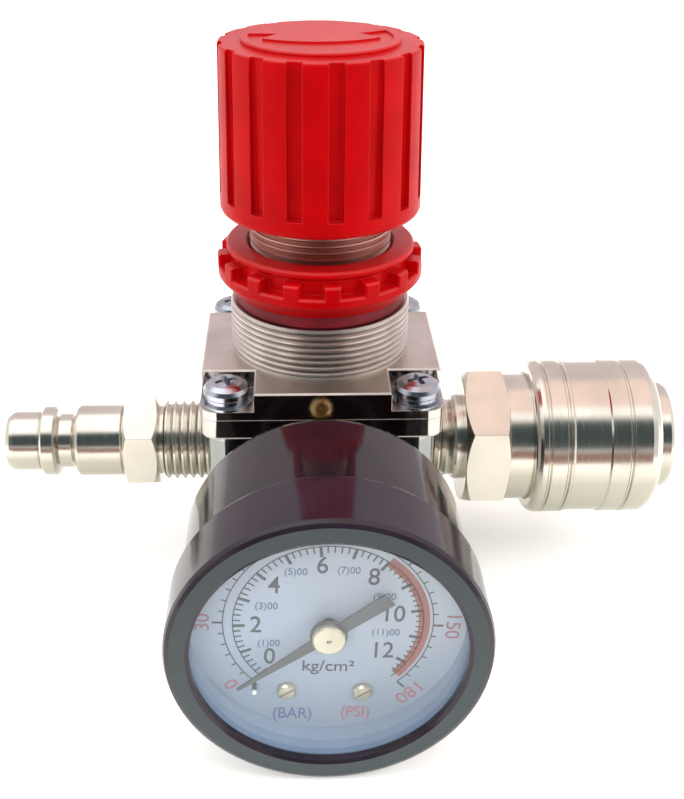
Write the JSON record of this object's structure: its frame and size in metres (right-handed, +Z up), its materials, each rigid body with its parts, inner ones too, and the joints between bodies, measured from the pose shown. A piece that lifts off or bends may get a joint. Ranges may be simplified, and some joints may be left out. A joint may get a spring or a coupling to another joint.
{
  "type": "air pressure regulator",
  "caption": "Compressed-air pressure regulator with a fluted adjusting knob, lock ring, threaded panel neck, dial gauge, plug inlet and a quick-coupling outlet.",
  "frame": {"origin": "knob axis at the top face of the bonnet plate, where the threaded neck starts", "axes": "+Z up the knob axis, +X towards the outlet coupling, gauge faces -Y"},
  "size_m": [0.1093, 0.0757, 0.0869],
  "materials": {
    "red_abs": "glossy moulded",
    "red_fibre": "matt",
    "cast_nickel": "satin nickel plate",
    "body_chrome": "bright plate",
    "bright_nickel": "bright nickel plate",
    "zinc_screw": "bright zinc plate",
    "spring_steel": "drawn wire",
    "steel": "ground",
    "brass": "turned",
    "aluminium": "stamped",
    "black_rubber": "moulded",
    "black_enamel": "gloss enamel",
    "bezel_enamel": "gloss enamel",
    "lens": "clear",
    "dial_print": "printed",
    "pale_ring": "moulded",
    "pointer_black": "matt enamel",
    "white_paint": "matt enamel"
  },
  "bodies": {
    "housing": {"bonnet": "cast_nickel", "bonnet_screws": "zinc_screw", "spring_washers": "zinc_screw", "flat_washers": "zinc_screw", "diaphragm": "black_rubber", "regulator_body": "body_chrome", "valve_seat": "brass", "bottom_cap": "bright_nickel", "cap_o_ring": "black_rubber", "port_plug": "bright_nickel", "inlet_plug": "bright_nickel", "coupling_adapter": "bright_nickel", "coupling_barrel": "bright_nickel", "snap_ring": "spring_steel", "sleeve_spring": "spring_steel", "coupler_seal": "black_rubber", "coupler_valve_spring": "spring_steel", "valve_spring": "spring_steel", "main_spring": "spring_steel", "gauge_case": "black_enamel", "gauge_bezel": "bezel_enamel", "gauge_lens": "lens", "dial_spacer": "pale_ring", "gauge_dial": "dial_print", "dial_screws": "brass", "stop_pin": "white_paint", "movement_frame": "brass", "bourdon_tube": "brass", "gauge_socket": "brass", "case_screws": "brass"},
    "spring_seat": {"spring_button": "steel"},
    "knob": {"knob": "red_abs", "thrust_pin": "steel"},
    "ring_washer": {"lock_washer": "red_fibre"},
    "lock_ring": {"lock_ring": "red_abs"},
    "diaphragm_centre": {"diaphragm_plate": "aluminium", "diaphragm_hub": "brass"},
    "valve": {"valve_poppet": "brass", "poppet_seal": "black_rubber"},
    "sleeve": {"coupling_sleeve": "bright_nickel"},
    "ball_1": {"ball_1": "steel"},
    "ball_2": {"ball_2": "steel"},
    "ball_3": {"ball_3": "steel"},
    "ball_4": {"ball_4": "steel"},
    "check_valve": {"coupler_valve": "brass", "coupler_face_seal": "black_rubber"},
    "pointer": {"pointer": "pointer_black", "pointer_hub": "brass", "pointer_arbor": "steel"},
    "sector": {"sector_gear": "brass"}
  },
  "joints": [
    {"name": "knob_travel", "type": "slide", "parent": "housing", "child": "spring_seat", "axis": [0, 0, 1], "range_m": [-0.0035, 0], "deforming": ["main_spring"]},
    {"name": "knob_turn", "type": "hinge", "parent": "spring_seat", "child": "knob", "pos_m": [0, 0, 0.0224], "axis": [0, 0, 1], "range_deg": [-1260, 0]},
    {"name": "lock_ring_travel", "type": "slide", "parent": "housing", "child": "ring_washer", "axis": [0, 0, 1], "range_m": [0, 0.001]},
    {"name": "lock_ring_turn", "type": "hinge", "parent": "ring_washer", "child": "lock_ring", "pos_m": [0, 0, 0.0137], "axis": [0, 0, 1], "range_deg": [0, 360]},
    {"name": "valve_lift", "type": "slide", "parent": "housing", "child": "valve", "axis": [0, 0, 1], "range_m": [-0.0012, 0], "stiffness_N_per_m": 800, "springref_m": 0.002, "deforming": ["valve_spring", "diaphragm"]},
    {"name": "diaphragm_travel", "type": "slide", "parent": "housing", "child": "diaphragm_centre", "axis": [0, 0, 1], "range_m": [-0.0012, 0]},
    {"name": "sleeve_slide", "type": "slide", "parent": "housing", "child": "sleeve", "axis": [1, 0, 0], "range_m": [-0.0035, 0], "stiffness_N_per_m": 600, "springref_m": 0.004, "deforming": ["sleeve_spring"]},
    {"name": "check_valve_open", "type": "slide", "parent": "housing", "child": "check_valve", "axis": [1, 0, 0], "range_m": [-0.004, 0], "stiffness_N_per_m": 500, "springref_m": 0.003, "deforming": ["coupler_valve_spring"]},
    {"name": "pointer_turn", "type": "hinge", "parent": "housing", "child": "pointer", "pos_m": [0, -0.0493, -0.0184], "axis": [0, 1, 0], "range_deg": [0, 264], "stiffness_Nm_per_rad": 0.0002, "springref_deg": -11.46},
    {"name": "sector_turn", "type": "hinge", "parent": "housing", "child": "sector", "pos_m": [0, -0.0434, -0.02965], "axis": [0, 1, 0], "range_deg": [-33, 0]},
    {"name": "ball_1_slide", "type": "slide", "parent": "housing", "child": "ball_1", "axis": [0, 0.7071, -0.7071], "range_m": [0, 0.0015]},
    {"name": "ball_2_slide", "type": "slide", "parent": "housing", "child": "ball_2", "axis": [0, 0.7071, 0.7071], "range_m": [0, 0.0015]},
    {"name": "ball_3_slide", "type": "slide", "parent": "housing", "child": "ball_3", "axis": [0, -0.7071, 0.7071], "range_m": [0, 0.0015]},
    {"name": "ball_4_slide", "type": "slide", "parent": "housing", "child": "ball_4", "axis": [0, -0.7071, -0.7071], "range_m": [0, 0.0015]}
  ],
  "couplings": [
    {"joint": "knob_travel", "follows": "knob_turn", "m_per_rad": 0.00015915},
    {"joint": "lock_ring_travel", "follows": "lock_ring_turn", "m_per_rad": 0.00015915},
    {"joint": "diaphragm_travel", "follows": "valve_lift", "ratio": 1},
    {"joint": "sector_turn", "follows": "pointer_turn", "ratio": -0.125},
    {"joint": "ball_1_slide", "follows": "sleeve_slide", "ratio": -0.42857},
    {"joint": "ball_2_slide", "follows": "sleeve_slide", "ratio": -0.42857},
    {"joint": "ball_3_slide", "follows": "sleeve_slide", "ratio": -0.42857},
    {"joint": "ball_4_slide", "follows": "sleeve_slide", "ratio": -0.42857}
  ]
}
